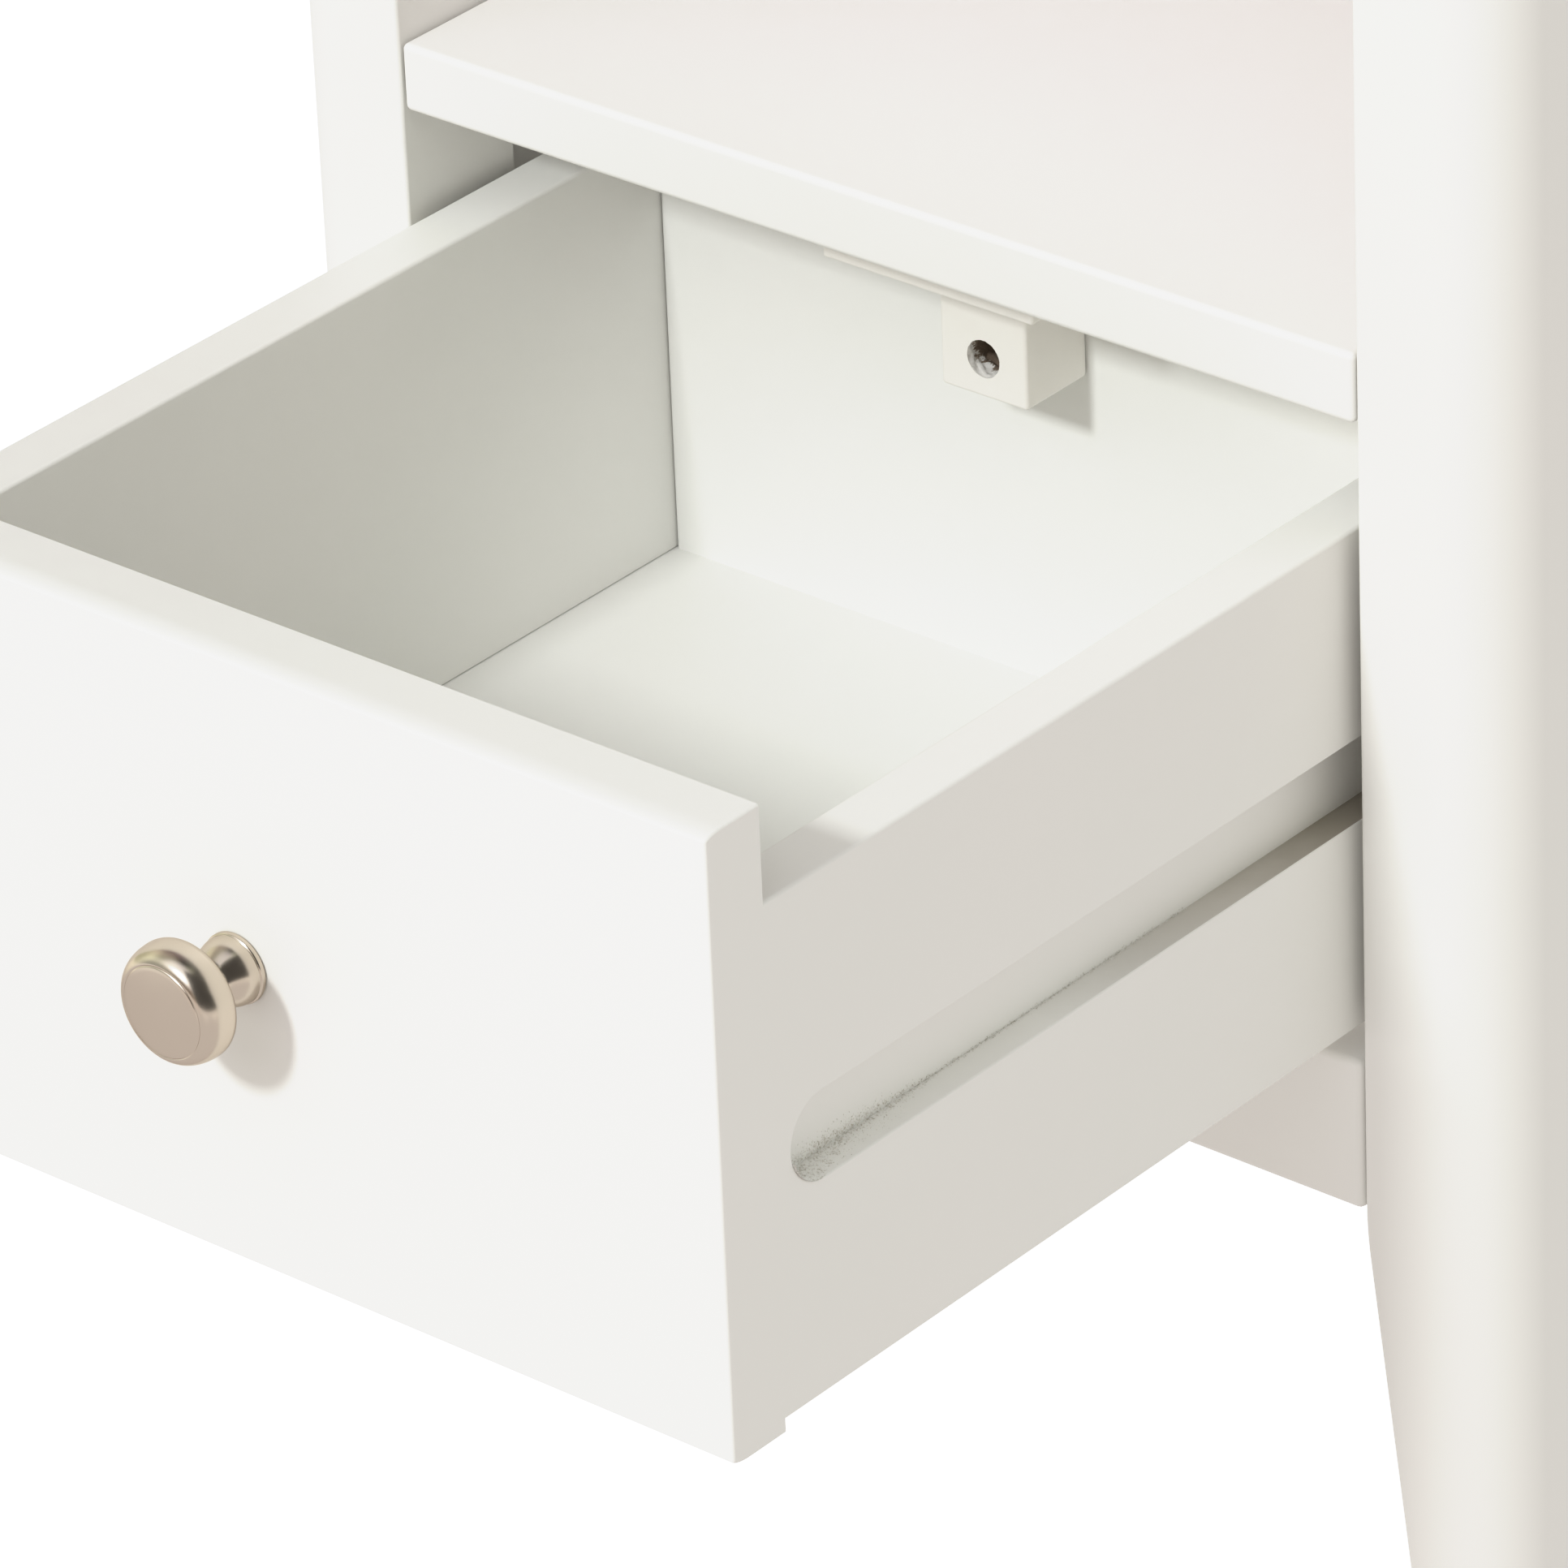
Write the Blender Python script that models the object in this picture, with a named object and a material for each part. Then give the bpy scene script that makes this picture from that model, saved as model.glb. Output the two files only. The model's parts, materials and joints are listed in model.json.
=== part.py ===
"""Bedside table with an open shelf over one drawer, in painted board.

The drawer is modelled pulled out to its stop. Units are metres, +Z is up, the front faces -Y and the
floor is at Z = 0. X = 0 is the middle of the width. FRONT is the plane of the legs' front faces.
"""

import math

import bmesh
import bpy
from mathutils import Vector

mm = 0.001

# Driving dimensions
CLEAR_WIDTH = 290 * mm  # between the inner faces of the left and right legs
BODY_DEPTH = 350 * mm  # over the legs, front to back
LEG = 40 * mm  # square leg
LEG_ROUND = 20 * mm  # radius of each leg's outer corner
FOOT = 22.5 * mm  # leg width at the floor
RAIL_BOTTOM = 140 * mm  # floor to the underside of the rails
RAIL_HEIGHT = 41 * mm
OPENING = 169 * mm  # drawer opening, rail to shelf
BOARD = 18 * mm  # top, shelf, rails and drawer front
CUBBY = 164 * mm  # open space above the shelf
TOP_OVERHANG = 8 * mm
SIDE_PANEL = 12 * mm
BACK_PANEL = 5 * mm
TONGUE = 7.7 * mm  # how far a panel enters a leg's groove
DRAWER_WIDTH = 283 * mm
DRAWER_HEIGHT = 160.6 * mm  # drawer front
DRAWER_INSIDE = 281 * mm  # front to back, inside
DRAWER_OPEN = 227 * mm  # how far the drawer stands out at its stop
DRAWER_SIDE = 15 * mm  # thickness of the drawer's sides and back
DRAWER_FLOOR = 5 * mm
KNOB_REACH = 26.3 * mm

# Fits
GAP = 0.3 * mm  # between pieces that touch
SLIDE_GAP = 4.2 * mm  # drawer front to the rail below it
EASE = 1.2 * mm  # eased edge of a board
FRONT_ROUND = 3.2 * mm  # rounded upper and lower edges of the drawer front

# Heights
RAIL_TOP = RAIL_BOTTOM + RAIL_HEIGHT
SHELF_BOTTOM = RAIL_TOP + OPENING
SHELF_TOP = SHELF_BOTTOM + BOARD
TOP_BOTTOM = SHELF_TOP + CUBBY
TOP_TOP = TOP_BOTTOM + BOARD
DRAWER_BOTTOM = RAIL_TOP + SLIDE_GAP

# Places across the width and the depth. The origin is the middle of the whole object, drawer out.
FRONT = (DRAWER_OPEN + GAP + KNOB_REACH - BODY_DEPTH) / 2
BACK = FRONT + BODY_DEPTH
INNER = CLEAR_WIDTH / 2
OUTER = INNER + LEG
PANEL_X = INNER + (LEG - SIDE_PANEL) / 2 + GAP  # inner face of a side panel
BACK_PANEL_Y = BACK - 20 * mm
GROOVE_DEPTH = TONGUE + GAP

# Drawer, in its own frame: front face at y = 0, lower edge of the front at z = 0
SIDE_BOTTOM = 3.4 * mm
SIDE_TOP = 136 * mm
FLOOR_BOTTOM = 13.7 * mm
FLOOR_GROOVE = 5.3 * mm
BACK_Y = BOARD + DRAWER_INSIDE
DRAWER_DEPTH = BACK_Y + DRAWER_SIDE
DRAWER_HALF = DRAWER_WIDTH / 2
SLOT_HEIGHT = 22 * mm  # groove that the runner fills
SLOT_MIDDLE = (SIDE_BOTTOM + SIDE_TOP) / 2
SLOT_DEPTH = 8 * mm
SLOT_START = 24 * mm
RUNNER_HEIGHT = 20.1 * mm
RUNNER_THICK = 10.5 * mm
RUNNER_START = SLOT_START + 0.5 * mm  # its nose stops the closing drawer flush with the legs

# Turning stop on the drawer's back, a little left of the middle, and the batten that it meets
STOP_X = -4 * mm
STOP_WIDTH = 26.4 * mm
STOP_DEPTH = 23.4 * mm
STOP_BOTTOM = 107.8 * mm
STOP_HEIGHT = 50 * mm
STOP_PIVOT = 118.2 * mm
STOP_HOLE = 10 * mm
STOP_HOLE_DEPTH = 14 * mm
BATTEN_LENGTH = 64 * mm
BATTEN_HEIGHT = 16.6 * mm
BATTEN_Y = 23 * mm

# Taper of the legs
TAPER_TOP = RAIL_BOTTOM + 2 * mm
TAPER_BLEND = 14 * mm
GLIDE = 3 * mm
GLIDE_RADIUS = 8 * mm
GLIDE_INSET = 12 * mm  # glide centre from each outer face of the leg

# Fasteners
DOWEL_RADIUS = 4 * mm
DOWEL_LENGTH = 26 * mm
SCREW_SHANK = 1.9 * mm
SCREW_HEAD = 3.8 * mm
HOLE_GAP = 0.25 * mm
ROUND = 16  # sides of a small round piece

WHITE = ("white_paint", (0.86, 0.86, 0.83), 0.42, 0.0)
NICKEL = ("knob_nickel", (0.62, 0.55, 0.48), 0.28, 1.0)
ZINC = ("zinc_screw", (0.55, 0.55, 0.53), 0.35, 1.0)
BEECH = ("beech_dowel", (0.66, 0.47, 0.28), 0.6, 0.0)
PLASTIC = ("glide_plastic", (0.80, 0.80, 0.78), 0.5, 0.0)


def clear_scene():
    for old in list(bpy.data.objects):
        bpy.data.objects.remove(old)


def material(finish):
    name, colour, roughness, metallic = finish
    found = bpy.data.materials.get(name)
    if found:
        return found
    made = bpy.data.materials.new(name)
    made.use_nodes = True
    shader = made.node_tree.nodes["Principled BSDF"]
    shader.inputs["Base Color"].default_value = (*colour, 1)
    shader.inputs["Roughness"].default_value = roughness
    shader.inputs["Metallic"].default_value = metallic
    return made


def add_object(name, mesh_builder, finish, location, parent=None):
    """Turns a bmesh into an object with its normals pointing out."""
    bmesh.ops.recalc_face_normals(mesh_builder, faces=mesh_builder.faces)
    mesh = bpy.data.meshes.new(name)
    mesh_builder.to_mesh(mesh)
    mesh_builder.free()
    obj = bpy.data.objects.new(name, mesh)
    obj.location = location
    obj.parent = parent
    bpy.context.scene.collection.objects.link(obj)
    if finish:
        mesh.materials.append(material(finish))
    return obj


def ease_edges(obj, width, segments=2):
    """Rounds the square edges, and leaves the shallow ones of a curve alone."""
    bevel = obj.modifiers.new("Eased edges", "BEVEL")
    bevel.width = width
    bevel.segments = segments
    bevel.limit_method = "ANGLE"
    bevel.angle_limit = math.radians(60)


def cut(obj, cutter):
    """Takes the cutter's shape out of obj."""
    cutter.hide_render = True
    cutter.display_type = "WIRE"
    boolean = obj.modifiers.new("Cut " + cutter.name, "BOOLEAN")
    boolean.operation = "DIFFERENCE"
    boolean.object = cutter


def block(name, low, high, finish=None, ease=0.0, parent=None):
    """A box from corner low to corner high, with its origin at its centre."""
    low, high = Vector(low), Vector(high)
    builder = bmesh.new()
    bmesh.ops.create_cube(builder, size=1)
    bmesh.ops.scale(builder, vec=high - low, verts=builder.verts)
    obj = add_object(name, builder, finish, (low + high) / 2, parent)
    if ease:
        ease_edges(obj, ease)
    return obj


def prism(name, outline, axis, low, high, finish=None, parent=None):
    """An outline extruded along one axis, from low to high. Outline points are in the other two axes."""
    others = [i for i in range(3) if i != axis]
    builder = bmesh.new()
    rings = []
    for level in (low, high):
        ring = []
        for first, second in outline:
            point = Vector((0, 0, 0))
            point[axis] = level
            point[others[0]] = first
            point[others[1]] = second
            ring.append(builder.verts.new(point))
        rings.append(ring)
        builder.faces.new(ring)
    for i in range(len(outline)):
        j = (i + 1) % len(outline)
        builder.faces.new((rings[0][i], rings[0][j], rings[1][j], rings[1][i]))
    return add_object(name, builder, finish, (0, 0, 0), parent)


def turned(name, profile, place, direction, finish=None, parent=None, sides=ROUND):
    """A profile of (radius, distance) points turned about direction, from its foot at place."""
    builder = bmesh.new()
    points = [builder.verts.new((radius, 0, height)) for radius, height in profile]
    edges = [builder.edges.new(pair) for pair in zip(points, points[1:])]
    bmesh.ops.spin(
        builder, geom=points + edges, cent=(0, 0, 0), axis=(0, 0, 1), angle=2 * math.pi, steps=sides
    )
    bmesh.ops.remove_doubles(builder, verts=builder.verts, dist=0.001 * mm)
    turn = Vector((0, 0, 1)).rotation_difference(Vector(direction))
    obj = add_object(name, builder, finish, place, parent)
    obj.rotation_mode = "QUATERNION"
    obj.rotation_quaternion = turn
    obj.data.shade_smooth()
    obj.data.set_sharp_from_angle(angle=math.radians(35))
    return obj


def arc(centre, radius, start, end, steps):
    """Points on a circle, from angle start to angle end in degrees."""
    for i in range(steps + 1):
        angle = math.radians(start + (end - start) * i / steps)
        yield centre[0] + radius * math.cos(angle), centre[1] + radius * math.sin(angle)


def bezier(p0, p1, p2, p3, steps):
    """Points on a cubic curve, without its first point."""
    corners = [Vector(point) for point in (p0, p1, p2, p3)]
    for i in range(1, steps + 1):
        t = i / steps
        shares = ((1 - t) ** 3, 3 * (1 - t) ** 2 * t, 3 * (1 - t) * t**2, t**3)
        point = sum((corner * share for corner, share in zip(corners, shares)), Vector((0, 0)))
        yield tuple(point)


# Fasteners


def screw(name, place, direction, length, parent=None):
    """A countersunk wood screw whose head is flush at place and whose point is along direction."""
    neck = SCREW_HEAD - SCREW_SHANK
    profile = [(0, 0), (SCREW_HEAD, 0), (SCREW_HEAD, 0.4 * mm), (SCREW_SHANK, neck + 0.4 * mm)]
    profile += [(SCREW_SHANK, length - 4 * mm), (0.3 * mm, length), (0, length)]
    return turned(name, profile, place, direction, ZINC, parent, 12)


def screw_hole(name, place, direction, length, parent=None):
    """The hole that a countersunk screw needs, open past its head."""
    start = Vector(direction) * -2 * mm
    head, shank = SCREW_HEAD + HOLE_GAP, SCREW_SHANK + HOLE_GAP
    seat = 2.4 * mm + HOLE_GAP
    profile = [(0, 0), (head, 0), (head, seat), (shank, seat + head - shank)]
    profile += [(shank, length + 2.5 * mm), (0, length + 2.5 * mm)]
    return turned(name, profile, Vector(place) + start, direction, None, parent, 12)


def fasten(name, place, direction, length, pieces, parent=None):
    """Screws pieces together: the screw, and its hole in each of them."""
    hole = screw_hole("hole_" + name, place, direction, length, parent)
    for piece in pieces:
        cut(piece, hole)
    inside = Vector(place) + Vector(direction) * GAP
    return screw(name, inside, direction, length - GAP, parent)


def dowel(name, middle, direction, pieces, parent=None):
    """A glued dowel across a joint at middle, and its hole in both pieces."""
    axis = Vector(direction)
    half, chamfer = DOWEL_LENGTH / 2, 1 * mm
    slim = DOWEL_RADIUS - chamfer
    profile = [(0, 0), (slim, 0), (DOWEL_RADIUS, chamfer)]
    profile += [(DOWEL_RADIUS, 2 * half - chamfer), (slim, 2 * half), (0, 2 * half)]
    wide = DOWEL_RADIUS + HOLE_GAP
    bore = [(0, 0), (wide, 0), (wide, 2 * half + 2 * GAP), (0, 2 * half + 2 * GAP)]
    start = Vector(middle) - axis * half
    hole = turned("hole_" + name, bore, start - axis * GAP, direction, None, parent, 12)
    for piece in pieces:
        cut(piece, hole)
    return turned(name, profile, start, direction, BEECH, parent, 12)


# Frame


def leg_inset(height):
    """How far a leg's inner faces have drawn back at this height: straight, then a smooth start."""
    below = TAPER_TOP - height
    slope = (LEG - FOOT) / (TAPER_TOP - GLIDE - TAPER_BLEND / 2)
    if below <= 0:
        return 0.0
    if below < TAPER_BLEND:
        return slope * below**2 / (2 * TAPER_BLEND)
    return slope * (below - TAPER_BLEND / 2)


def leg(name, side, rear):
    """A square leg with one round outer corner, whose two inner faces taper to the foot."""
    corner = Vector((side * OUTER, BACK if rear else FRONT, 0))
    inward = Vector((-side, -1 if rear else 1, 0))
    blend = [TAPER_TOP - TAPER_BLEND * i / 4 for i in range(5)]
    levels = [TOP_BOTTOM - GAP, *blend, GLIDE + GAP]
    builder = bmesh.new()
    rings = []
    for level in levels:
        width = LEG - leg_inset(level)
        outline = [(width, 0), (width, width), (0, width)]
        outline += arc((LEG_ROUND, LEG_ROUND), LEG_ROUND, 180, 270, 8)
        rings.append([builder.verts.new((u * inward.x, v * inward.y, level)) for u, v in outline])
    for upper, lower in zip(rings, rings[1:]):
        for i in range(len(upper)):
            j = (i + 1) % len(upper)
            builder.faces.new((upper[i], upper[j], lower[j], lower[i]))
    builder.faces.new(rings[0])
    builder.faces.new(rings[-1])
    obj = add_object(name, builder, WHITE, corner)
    ease_edges(obj, 1 * mm, 1)
    return obj


def legs():
    made = {}
    for rear in (False, True):
        for side in (-1, 1):
            name = f"leg_{'rear' if rear else 'front'}_{'left' if side < 0 else 'right'}"
            piece = leg(name, side, rear)
            glide(name.replace("leg", "foot_glide"), side, rear, piece)
            made[side, rear] = piece
    return made


def glide(name, side, rear, piece):
    """A nail-in plastic glide under the foot."""
    stem, stem_length = 2 * mm, 12 * mm
    place = Vector((side * (OUTER - GLIDE_INSET), BACK - GLIDE_INSET if rear else FRONT + GLIDE_INSET, 0))
    rim = 1 * mm
    profile = [(0, 0), (GLIDE_RADIUS - rim, 0), (GLIDE_RADIUS, rim), (GLIDE_RADIUS, GLIDE)]
    profile += [(stem, GLIDE), (stem, GLIDE + stem_length), (0, GLIDE + stem_length)]
    turned(name, profile, place, (0, 0, 1), PLASTIC)
    bore = stem + HOLE_GAP
    top = GLIDE + stem_length + GAP
    profile = [(0, 0), (bore, 0), (bore, top), (0, top)]
    cut(piece, turned("hole_" + name, profile, place, (0, 0, 1), sides=12))


def side_panel(side, frame):
    """A panel between the front and rear legs, in a groove of each."""
    name = "left" if side < 0 else "right"
    low_x, high_x = sorted((side * PANEL_X, side * (PANEL_X + SIDE_PANEL - 2 * GAP)))
    ends = (FRONT + LEG - TONGUE, BACK - LEG + TONGUE)
    panel = block(
        "side_panel_" + name,
        (low_x, ends[0], RAIL_BOTTOM),
        (high_x, ends[1], TOP_BOTTOM - GAP),
        WHITE,
        ease=0.8 * mm,
    )
    groove = block(
        "groove_side_" + name,
        (low_x - GAP, ends[0] - GAP, RAIL_BOTTOM - GAP),
        (high_x + GAP, ends[1] + GAP, TOP_TOP),
    )
    for rear in (False, True):
        cut(frame[side, rear], groove)
    return panel


def back_panel(frame):
    reach = INNER + TONGUE
    low = Vector((-reach, BACK_PANEL_Y, RAIL_BOTTOM))
    high = Vector((reach, BACK_PANEL_Y + BACK_PANEL, TOP_BOTTOM - GAP))
    panel = block("back_panel", low, high, WHITE, ease=0.6 * mm)
    room = Vector((GAP, GAP, GAP))
    groove = block("groove_back", low - room, high + room + Vector((0, 0, BOARD)))
    for side in (-1, 1):
        cut(frame[side, True], groove)
    return panel


def rail(name, low_y, frame, rear, dowel_heights):
    """A rail between two legs, on dowels."""
    end = INNER - GAP
    piece = block(name, (-end, low_y, RAIL_BOTTOM), (end, low_y + BOARD, RAIL_TOP), WHITE, ease=EASE)
    for side in (-1, 1):
        word = "left" if side < 0 else "right"
        for i, height in enumerate(dowel_heights, 1):
            middle = (side * INNER, low_y + BOARD / 2, RAIL_BOTTOM + height)
            dowel(f"{name}_dowel_{word}_{i}", middle, (1, 0, 0), (piece, frame[side, rear]))
    return piece


def shelf(frame):
    """The shelf, notched round the four legs so that it reaches the side panels."""
    narrow, wide = INNER - GAP, PANEL_X - GAP
    front, rear = FRONT, BACK_PANEL_Y - GAP
    first, last = FRONT + LEG + GAP, BACK - LEG - GAP
    right = [(narrow, front), (narrow, first), (wide, first), (wide, last), (narrow, last), (narrow, rear)]
    outline = right + [(-x, y) for x, y in reversed(right)]
    piece = prism("shelf", outline, 2, SHELF_BOTTOM, SHELF_TOP, WHITE)
    ease_edges(piece, EASE)
    places = {False: FRONT + LEG / 2, True: BACK - 29 * mm}
    for side in (-1, 1):
        for is_rear, y in places.items():
            word = f"{'rear' if is_rear else 'front'}_{'left' if side < 0 else 'right'}"
            middle = (side * INNER, y, SHELF_BOTTOM + BOARD / 2)
            dowel("shelf_dowel_" + word, middle, (1, 0, 0), (piece, frame[side, is_rear]))
    return piece


def top_panel():
    """The top, flush at the back, with round corners that follow the legs."""
    wide = OUTER + TOP_OVERHANG
    front_radius, rear_radius = LEG_ROUND + TOP_OVERHANG, LEG_ROUND
    outline = []
    outline += arc((wide - front_radius, FRONT - TOP_OVERHANG + front_radius), front_radius, -90, 0, 8)
    outline += arc((wide - rear_radius, BACK - rear_radius), rear_radius, 0, 90, 8)
    outline += arc((-wide + rear_radius, BACK - rear_radius), rear_radius, 90, 180, 8)
    outline += arc((-wide + front_radius, FRONT - TOP_OVERHANG + front_radius), front_radius, 180, 270, 8)
    piece = prism("top_panel", outline, 2, TOP_BOTTOM, TOP_TOP, WHITE)
    ease_edges(piece, 2 * mm)
    return piece


def top_cleats(top):
    """Glued to the side panels and screwed up into the top."""
    for side, word in ((-1, "left"), (1, "right")):
        low_x, high_x = sorted((side * (PANEL_X - GAP), side * (PANEL_X - GAP - BOARD)))
        low = (low_x, FRONT + LEG + 5 * mm, TOP_BOTTOM - GAP - BOARD)
        high = (high_x, BACK - LEG - 5 * mm, TOP_BOTTOM - GAP)
        piece = block("top_cleat_" + word, low, high, WHITE, ease=EASE)
        for end, y in (("front", low[1] + 35 * mm), ("rear", high[1] - 35 * mm)):
            place = ((low_x + high_x) / 2, y, low[2])
            fasten(f"top_screw_{end}_{word}", place, (0, 0, 1), 30 * mm, (piece, top))


def runners(frame):
    """Strips on the legs' inner faces that carry the drawer by its grooves."""
    top = DRAWER_BOTTOM + SLOT_MIDDLE + SLOT_HEIGHT / 2 - GAP
    low_z = top - RUNNER_HEIGHT
    nose = RUNNER_HEIGHT / 2
    front, rear = FRONT + RUNNER_START, BACK_PANEL_Y - 2 * mm
    middle = (top + low_z) / 2
    outline = list(arc((front + nose, middle), nose, 270, 90, 8)) + [(rear, top), (rear, low_z)]
    for side, word in ((-1, "left"), (1, "right")):
        inner = INNER - GAP
        low_x, high_x = sorted((side * inner, side * (INNER - RUNNER_THICK)))
        piece = prism("drawer_runner_" + word, outline, 0, low_x, high_x, WHITE)
        for is_rear, y in ((False, FRONT + LEG - 4.5 * mm), (True, BACK - LEG + 13 * mm)):
            place = (side * (INNER - RUNNER_THICK), y, middle)
            end = "rear" if is_rear else "front"
            pieces = (piece, frame[side, is_rear])
            fasten(f"runner_screw_{end}_{word}", place, (side, 0, 0), 22 * mm, pieces)


def stop_batten(shelf_piece):
    """Catches the turning stop at the end of the drawer's travel."""
    half = BATTEN_LENGTH / 2
    rear = FRONT - DRAWER_OPEN + BACK_Y - STOP_DEPTH - 2 * GAP
    low = (-half, FRONT + BATTEN_Y, SHELF_BOTTOM - GAP - BATTEN_HEIGHT)
    high = (half, rear, SHELF_BOTTOM - GAP)
    piece = block("stop_batten", low, high, WHITE, ease=0.6 * mm)
    for side, word in ((-1, "left"), (1, "right")):
        place = (side * half / 2, (low[1] + high[1]) / 2, low[2])
        fasten("batten_screw_" + word, place, (0, 0, 1), 28 * mm, (piece, shelf_piece))


# Drawer


def drawer_frame():
    """The empty that carries the drawer, at the middle of its front's lower edge."""
    empty = bpy.data.objects.new("drawer", None)
    empty.location = (0, FRONT - DRAWER_OPEN, DRAWER_BOTTOM)
    bpy.context.scene.collection.objects.link(empty)
    return empty


def drawer_front(drawer):
    top = DRAWER_HEIGHT - FRONT_ROUND
    outline = [(BOARD, DRAWER_HEIGHT), (BOARD, 0)]
    outline += arc((FRONT_ROUND, FRONT_ROUND), FRONT_ROUND, 270, 180, 4)
    outline += arc((FRONT_ROUND, top), FRONT_ROUND, 180, 90, 4)
    piece = prism("drawer_front", outline, 0, -DRAWER_HALF, DRAWER_HALF, WHITE, drawer)
    ease_edges(piece, 1 * mm)
    reach = DRAWER_HALF - DRAWER_SIDE + FLOOR_GROOVE
    groove = block(
        "groove_front",
        (-reach, BOARD - FLOOR_GROOVE, FLOOR_BOTTOM - GAP),
        (reach, BOARD + GAP, FLOOR_BOTTOM + DRAWER_FLOOR + GAP),
        parent=drawer,
    )
    cut(piece, groove)
    return piece


def drawer_side(side, front, drawer):
    """A side with its runner groove, which is round at the front and open at the back."""
    word = "left" if side < 0 else "right"
    low_x, high_x = sorted((side * DRAWER_HALF, side * (DRAWER_HALF - DRAWER_SIDE)))
    low, high = (low_x, BOARD + GAP, SIDE_BOTTOM), (high_x, DRAWER_DEPTH, SIDE_TOP)
    piece = block("drawer_side_" + word, low, high, WHITE, ease=EASE, parent=drawer)
    radius = SLOT_HEIGHT / 2
    past = DRAWER_DEPTH + 5 * mm
    outline = list(arc((SLOT_START + radius, SLOT_MIDDLE), radius, 270, 90, 8))
    outline += [(past, SLOT_MIDDLE + radius), (past, SLOT_MIDDLE - radius)]
    edges = sorted((side * (DRAWER_HALF - SLOT_DEPTH), side * (DRAWER_HALF + 5 * mm)))
    cut(piece, prism("groove_runner_" + word, outline, 0, *edges, parent=drawer))
    inner = DRAWER_HALF - DRAWER_SIDE
    edges = sorted((side * (inner - 5 * mm), side * (inner + FLOOR_GROOVE)))
    groove = block(
        "groove_floor_" + word,
        (edges[0], -GAP, FLOOR_BOTTOM - GAP),
        (edges[1], past, FLOOR_BOTTOM + DRAWER_FLOOR + GAP),
        parent=drawer,
    )
    cut(piece, groove)
    for i, height in enumerate((40 * mm, 110 * mm), 1):
        middle = (side * (DRAWER_HALF - DRAWER_SIDE / 2), BOARD + 3 * mm, height)
        dowel(f"drawer_dowel_{word}_{i}", middle, (0, 1, 0), (front, piece), drawer)
    return piece


def drawer_back(sides, drawer):
    """The back stands on the floor panel, between the sides."""
    reach = DRAWER_HALF - DRAWER_SIDE - GAP
    low = (-reach, BACK_Y, FLOOR_BOTTOM + DRAWER_FLOOR + GAP)
    high = (reach, DRAWER_DEPTH, SIDE_TOP)
    piece = block("drawer_back", low, high, WHITE, ease=EASE, parent=drawer)
    for side, word in ((-1, "left"), (1, "right")):
        for i, height in enumerate((42 * mm, 112 * mm), 1):
            place = (side * DRAWER_HALF, BACK_Y + DRAWER_SIDE / 2, height)
            name = f"drawer_back_screw_{word}_{i}"
            fasten(name, place, (-side, 0, 0), 35 * mm, (sides[side], piece), drawer)
    return piece


def drawer_floor(drawer):
    """The floor panel slides in from behind, in grooves of the sides and the front."""
    reach = DRAWER_HALF - DRAWER_SIDE + FLOOR_GROOVE - GAP
    low = (-reach, BOARD - FLOOR_GROOVE + GAP, FLOOR_BOTTOM)
    high = (reach, DRAWER_DEPTH, FLOOR_BOTTOM + DRAWER_FLOOR)
    return block("drawer_bottom", low, high, WHITE, parent=drawer)


def knob_profile():
    """(radius, distance from the drawer front), from the base round to the face."""
    points = [(2.3, 0), (8.9, 0), (8.9, 1.4), (8.5, 1.7)]
    points += bezier(points[-1], (8.9, 4.5), (7.0, 6.5), (5.7, 9.0), 4)
    points += bezier(points[-1], (4.8, 11.6), (7.4, 13.0), (11.4, 14.2), 4)
    points += bezier(points[-1], (14.2, 15.0), (15.0, 16.6), (15.0, 18.2), 4)
    points += bezier(points[-1], (15.0, 21.4), (13.8, 24.5), (10.9, 25.4), 5)
    points += [(10.4, 25.1), (10.1, 25.5)]
    points += bezier(points[-1], (7.0, 26.1), (3.5, 26.3), (0, 26.3), 3)
    bore = [(0, 9.5), (2.3, 9.0)]
    return [(radius * mm, distance * mm) for radius, distance in bore + points]


def knob(front, drawer):
    """A mushroom knob and the machine screw that holds it through the front."""
    middle = Vector((0, 0, DRAWER_HEIGHT / 2))
    turned("knob", knob_profile(), middle - Vector((0, GAP, 0)), (0, -1, 0), NICKEL, drawer, 32)
    shank, head, head_height, length = 2 * mm, 4 * mm, 2.4 * mm, 25 * mm
    profile = [(0, 0), (head - 0.6 * mm, 0), (head, 0.8 * mm), (head, head_height)]
    profile += [(shank, head_height), (shank, head_height + length), (0, head_height + length)]
    place = middle + Vector((0, BOARD + head_height + GAP, 0))
    turned("knob_screw", profile, place, (0, -1, 0), ZINC, drawer)
    bore = shank + HOLE_GAP
    span = BOARD + 10 * mm
    hole = turned(
        "hole_knob",
        [(0, 0), (bore, 0), (bore, span), (0, span)],
        middle + Vector((0, BOARD + 5 * mm, 0)),
        (0, -1, 0),
        parent=drawer,
    )
    cut(front, hole)


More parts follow.
